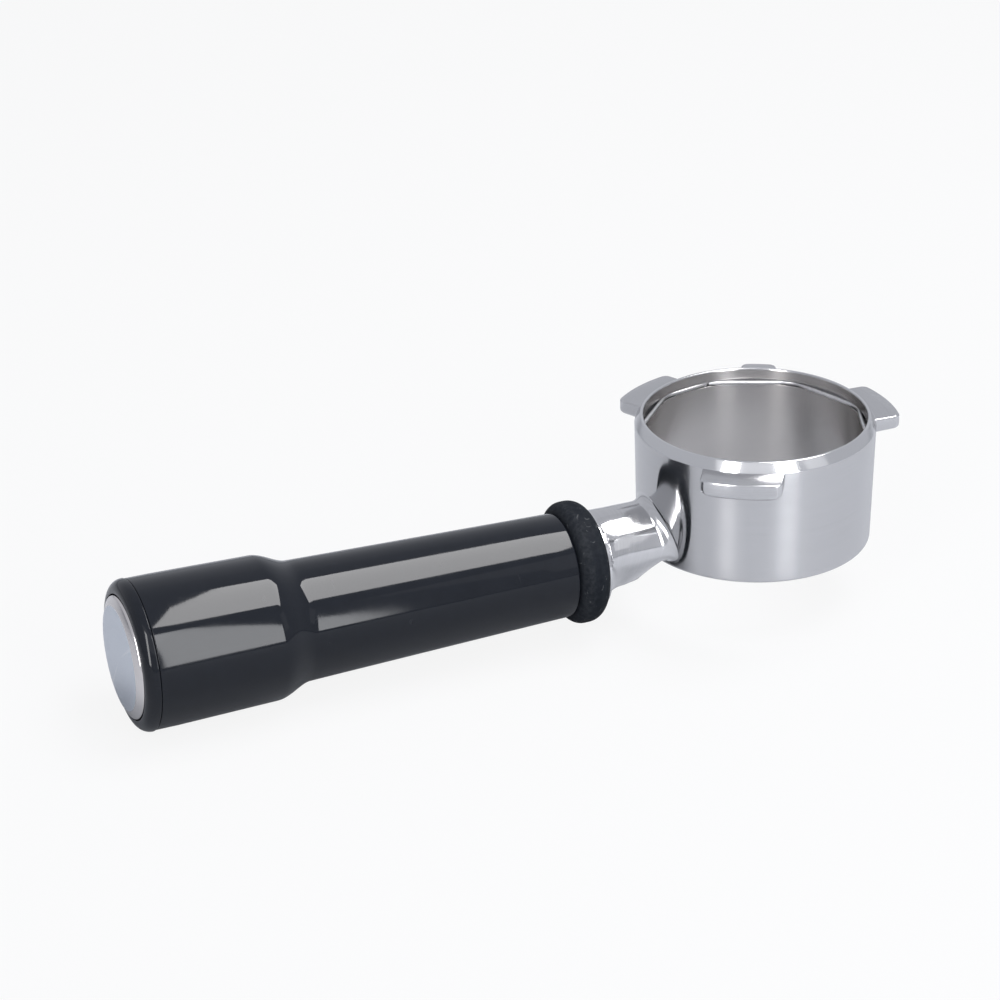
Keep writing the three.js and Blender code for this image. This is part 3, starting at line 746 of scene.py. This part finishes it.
def wallRadius(z):
    # of the ring's wall, which thins towards its foot
    below = (-z - ring["chamferDrop"]) / (-footZ - ring["chamferDrop"])
    return ring["bore"] + ring["wall"] - ring["draft"] * min(1, max(0, below))


def neckGrowth(station, flangeStation):
    # how far the neck has grown into its flange, from 0 to 1, along a quarter ellipse
    along = min(1, max(0, (station - flangeStation) / neck["flangeFlare"] + 1))
    return 1 - math.sqrt(1 - along * along)


def makeNeck():
    # turned straight, then bent: it follows the ring's wall, and flattens below to meet the foot
    wall = ring["bore"] + ring["wall"]
    flangeStation = wall + neck["length"]
    flangeRadius = neck["radius"] + neck["rise"]
    flareRadius = neck["radius"] + neck["flare"]
    flangeBack = flangeStation + neck["flange"]
    corners = [(0, wall - neck["sunk"]), (flareRadius, wall - neck["sunk"])]
    for a in quarterTurn(neck["flareStep"]):
        station = wall - neck["press"] + neck["flare"] * (1 - math.cos(a))
        corners.append((flareRadius - neck["flare"] * math.sin(a), station))
    corners.append((neck["radius"], wall + neck["blend"] - neck["blendSetback"]))
    for a in quarterTurn(neck["flangeStep"]):
        station = flangeStation - neck["flangeFlare"] * (1 - math.sin(a))
        corners.append((neck["radius"] + neck["rise"] * neckGrowth(station, flangeStation), station))
    holeEnd = tangEnd - neck["holeDepth"]
    corners += [(flangeRadius, flangeBack), (neck["tang"], flangeBack),
                (neck["tang"], tangEnd - neck["tangEdge"], neck["tangRounding"]),
                (neck["tang"] - neck["tangEdge"], tangEnd), (neck["hole"], tangEnd),
                (neck["hole"], holeEnd), (0, holeEnd)]
    piece = turnAlongHandle("neck_casting", corners, neck["steps"], 0, closed=False)
    hang = (axisZ - footZ + neck["rise"]) / flareRadius
    for vertex in piece.data.vertices:
        x, y, z = vertex.co / mm
        station = -x
        if station > flangeBack + weld:
            vertex.co = Vector((x, y, z + axisZ)) * mm
            continue
        near = 1 - smoothStep(wall, wall + neck["blend"], station)
        growth = neckGrowth(station, flangeStation)
        flat = 1 + (hang - 1) * near if z < 0 else 1
        newZ = z * flat + axisZ + neck["rise"] * (1 - growth)
        radius = wallRadius(newZ)
        hollow = wall - math.sqrt(radius * radius - y * y)
        follow = 1 - smoothStep(wall + neck["flare"], wall + neck["blend"], station)
        vertex.co = Vector((x + hollow * follow, y, newZ)) * mm
    shade(piece, turnedCrease)
    material = metal("polishedSteel", neckSteel, True)
    finishPiece(piece, "portafilter", "body_steel", material, "portafilter_body")


makeNeck()
print("neck made")


# bends are degrees round from the handle, and sags are shares of a straight with shares of its inset
wire = {"radius": 0.52, "clearance": 0.1, "inset": 1.8, "endGap": 2.0, "sides": 6, "steps": 8,
        "bends": (-92, -66, -22, 22, 66, 110, 140, 178, 223),
        "sags": ((0.25, 0.72), (0.5, 1.0), (0.75, 0.72))}
wireSteel = {"dark": (0.50, 0.50, 0.51), "light": (0.62, 0.62, 0.63), "stain": 0.1,
             "stainColor": (0.5, 0.48, 0.46), "wear": 0.3, "wornColor": (0.9, 0.9, 0.9),
             "roughness": (0.30, 0.38), "scratch": 0.05, "anisotropy": 0.0, "fineness": 3000.0,
             "length": 90.0, "scuffScale": 300.0, "bump": 0.1, "bumpDepth": 0.01}


def makeWire():
    bend = ring["bore"] + ring["grooveDepth"] - wire["clearance"] - wire["radius"]
    stops = [*wire["bends"][1:], wire["bends"][0] + 360 - wire["endGap"] / 2]
    last = wire["bends"][0] + wire["endGap"] / 2
    route = [(last, bend)]
    for stop in stops:
        width = stop - last
        inset = min(wire["inset"], bend * (1 - math.cos(math.radians(width / 2))))
        for share, sag in wire["sags"]:
            route.append((last + width * share, bend - inset * sag))
        route.append((stop, bend))
        last = stop
    bpy.ops.object.select_all(action="DESELECT")
    bpy.ops.curve.primitive_bezier_curve_add(location=(0, 0, 0))
    piece = bpy.context.object
    piece.name = "spring_wire"
    curve = piece.data
    spline = curve.splines[0]
    spline.bezier_points.add(len(route) - 2)
    for point, (angle, radius) in zip(spline.bezier_points, route):
        turn = math.radians(180 + angle)
        point.co = Vector((radius * math.cos(turn), radius * math.sin(turn), wireZ)) * mm
        point.handle_left_type = point.handle_right_type = "AUTO"
    curve.bevel_depth = wire["radius"] * mm
    curve.bevel_resolution = wire["sides"]
    curve.resolution_u = wire["steps"]
    curve.use_fill_caps = True
    bpy.ops.object.convert(target="MESH")
    bpy.ops.object.mode_set(mode="EDIT")
    closeShell()
    shade(piece, turnedCrease)
    finishPiece(piece, "spring", "spring_steel", metal("drawnWire", wireSteel), "basket_spring")


makeWire()
print("spring wire made")


collar = {"bore": 8.3, "frontRadius": 12.4, "swell": 3.8, "swellStep": 7.5, "rounding": 3.2, "steps": 144}
collarRubber = {"dark": (0.0045, 0.006, 0.0085), "light": (0.010, 0.012, 0.016), "grainScale": 700.0,
                "grain": 1.0, "ior": 1.5, "shine": 0.05, "coat": 0.0, "coatRoughness": 0.3,
                "scuffScale": 260.0, "scuffWidth": 0.016, "scuff": 0.35, "scuffColor": (0.12, 0.125, 0.13),
                "wear": 0.2, "roughness": (0.55, 0.75), "waveScale": 220.0, "wave": 0.6, "bump": 0.35,
                "bumpDepth": 0.08}


def makeCollar():
    corners = [(collar["bore"], collarFront)]
    grow = collarRadius - collar["frontRadius"]
    for a in quarterTurn(collar["swellStep"]):
        station = collarFront + collar["swell"] * (1 - math.cos(a))
        corners.append((collar["frontRadius"] + grow * math.sin(a), station))
    corners += [(collarRadius, collarBack, collar["rounding"]), (collar["bore"], collarBack)]
    piece = turnAlongHandle("rubber_collar", corners, collar["steps"], axisZ)
    shade(piece, turnedCrease)
    material = plastic("blackRubber", collarRubber)
    finishPiece(piece, "portafilter", "collar_rubber", material, "neck_collar")


makeCollar()
print("collar made")


grip = {"front": 13.4, "waist": 15.2, "shoulder": 18.25, "waistLength": 71.0, "waistSteps": 8,
        "waistHold": 1.0, "waistLand": 0.6, "shoulderLength": 9.5, "shoulderSteps": 15, "barrelLand": 6.0,
        "backRounding": 0.3, "wall": 2.1, "barrelWall": 2.4, "taperRunOut": 2.0, "frontRounding": 0.7,
        "flangeBore": 13.1, "flangeLand": 12.0, "flangeTaper": 14.0, "steps": 160}
glossBlack = {"dark": (0.0035, 0.0045, 0.007), "light": (0.006, 0.0075, 0.011), "grainScale": 400.0,
              "grain": 0.15, "ior": 1.38, "shine": 0.5, "coat": 0.0, "coatRoughness": 0.05,
              "scuffScale": 90.0, "scuffWidth": 0.004, "scuff": 0.08, "scuffColor": (0.05, 0.055, 0.06),
              "wear": 0.1, "roughness": (0.045, 0.10), "waveScale": 45.0, "wave": 1.0, "bump": 0.12,
              "bumpDepth": 0.15}


def makeGrip():
    waistEnd = collarBack + grip["waistLength"]
    shoulderEnd = waistEnd + grip["shoulderLength"]
    taper, rise = grip["waist"] - grip["front"], grip["shoulder"] - grip["waist"]
    waistStart, waistSpan = shellFront + grip["waistHold"], waistEnd - grip["waistHold"] - shellFront
    bore, barrelBore = grip["front"] - grip["wall"], shellRadius - grip["barrelWall"]
    corners = [(bore, shellFront), (grip["front"], shellFront, grip["frontRounding"])]
    for i in range(1, grip["waistSteps"]):
        along = i / grip["waistSteps"]
        corners.append((grip["front"] + taper * along, waistStart + waistSpan * along))
    corners.append((grip["waist"], waistEnd - grip["waistLand"]))
    for i in range(1, grip["shoulderSteps"] + 1):
        along = i / grip["shoulderSteps"]
        radius = grip["waist"] + rise * smoothStep(0, 1, along)
        corners.append((radius, waistEnd + grip["shoulderLength"] * along))
    corners += [(shellRadius, shellBack - grip["barrelLand"]),
                (shellRadius, shellBack, grip["backRounding"]), (barrelBore, shellBack),
                (barrelBore, shoulderEnd + grip["taperRunOut"]),
                (grip["flangeBore"], waistEnd), (grip["flangeBore"], waistEnd - grip["flangeLand"]),
                (bore, waistEnd - grip["flangeTaper"])]
    piece = turnAlongHandle("handle_grip", corners, grip["steps"], axisZ)
    shade(piece, turnedCrease)
    material = plastic("glossBlackPlastic", glossBlack)
    finishPiece(piece, "portafilter", "handle_black", material, "handle_shell")
    return material


gripMaterial = makeGrip()
print("handle grip made")


cap = {"recess": 15.7, "edge": 0.3, "edgeRounding": 0.2, "rounding": 3.1, "roundingSteps": 16,
       "skirt": 16.1, "skirtWall": 1.8, "skirtRounding": 0.5, "web": 2.0, "webDrop": 1.0, "gap": 0.1,
       "seam": 0.35, "steps": 160}
disc = {"bevelWidth": 2.2, "bevelDepth": 1.0, "outerRounding": 0.7, "faceRounding": 0.5, "backEdge": 0.3,
        "steps": 160}
discSteel = {"dark": (0.60, 0.64, 0.70), "light": (0.68, 0.72, 0.78), "stain": 0.08,
             "stainColor": (0.5, 0.52, 0.55), "wear": 0.5, "wornColor": (0.88, 0.88, 0.89),
             "roughness": (0.285, 0.34), "scratch": 0.05, "anisotropy": 0.0, "fineness": 2500.0,
             "length": 40.0, "scuffScale": 150.0, "bump": 0.06, "bumpDepth": 0.01,
             # the bevel's warmer colour on this line is a painted reflection, not the steel's own colour
             "bevelRadius": 13.1, "bevelShine": 0.07, "bevelPaintedReflection": (0.74, 0.71, 0.70)}


def makeCap():
    back = shellBack + cap["gap"]
    webOuter = discBack - cap["webDrop"]
    webInner = webOuter - cap["web"]
    lip = cap["recess"] + cap["edge"]
    skirtBore = cap["skirt"] - cap["skirtWall"]
    corners = [(0, webInner), (skirtBore, webInner), (skirtBore, capSkirtEnd),
               (cap["skirt"], capSkirtEnd, cap["skirtRounding"]), (cap["skirt"], back),
               (capRadius, back, cap["seam"])]
    for a in quarterTurn(90 / cap["roundingSteps"]):
        station = capEnd - cap["rounding"] * (1 - math.sin(a))
        corners.append((lip + (capRadius - lip) * math.cos(a), station))
    corners += [(cap["recess"], capEnd, cap["edgeRounding"]), (cap["recess"], webOuter), (0, webOuter)]
    piece = turnAlongHandle("handle_cap", corners, cap["steps"], axisZ, closed=False)
    shade(piece, turnedCrease)
    finishPiece(piece, "portafilter", "handle_black", gripMaterial, "end_cap")


def makeDisc():
    corners = [(0, discBack), (discRadius, discBack, disc["backEdge"]),
               (discRadius, discFace - disc["bevelDepth"], disc["outerRounding"]),
               (discRadius - disc["bevelWidth"], discFace, disc["faceRounding"]), (0, discFace)]
    piece = turnAlongHandle("cap_disc", corners, disc["steps"], axisZ, closed=False)
    shade(piece, turnedCrease)
    finishPiece(piece, "portafilter", "disc_steel", metal("satinDisc", discSteel, True), "end_disc")


makeCap()
makeDisc()
print("cap and disc made")


# the parts inside the handle keep their CAD shapes
coreAluminium = {"dark": (0.55, 0.56, 0.57), "light": (0.66, 0.67, 0.68), "stain": 0.2,
                 "stainColor": (0.45, 0.45, 0.45), "wear": 0.2, "wornColor": (0.8, 0.8, 0.8),
                 "roughness": (0.35, 0.5), "scratch": 0.05, "anisotropy": 0.0, "fineness": 2500.0,
                 "length": 40.0, "scuffScale": 120.0, "bump": 0.2, "bumpDepth": 0.02}
platedSteel = {"dark": (0.46, 0.46, 0.44), "light": (0.60, 0.60, 0.57), "stain": 0.3,
               "stainColor": (0.52, 0.46, 0.34), "wear": 0.3, "wornColor": (0.75, 0.75, 0.74),
               "roughness": (0.25, 0.4), "scratch": 0.05, "anisotropy": 0.0, "fineness": 2500.0,
               "length": 60.0, "scuffScale": 220.0, "bump": 0.15, "bumpDepth": 0.02}
padFoam = {"dark": (0.60, 0.59, 0.56), "light": (0.74, 0.73, 0.70), "grainScale": 1800.0, "grain": 1.0,
           "ior": 1.4, "shine": 0.3, "coat": 0.0, "coatRoughness": 0.3, "scuffScale": 200.0,
           "scuffWidth": 0.01, "scuff": 0.1, "scuffColor": (0.5, 0.5, 0.48), "wear": 0.0,
           "roughness": (0.85, 0.95), "waveScale": 200.0, "wave": 0.5, "bump": 0.5, "bumpDepth": 0.1}


def dress(node, material):
    mesh = frame["nodes"][node].data
    mesh.materials.clear()
    mesh.materials.append(material)


dress("handle_core", metal("coreAluminium", coreAluminium, True))
dress("disc_pad", plastic("padFoam", padFoam))
plated = metal("platedSteel", platedSteel, True)
for node in ("key_pin", "handle_bolt", "flat_washer", "lock_washer"):
    dress(node, plated)
print("inner parts dressed")
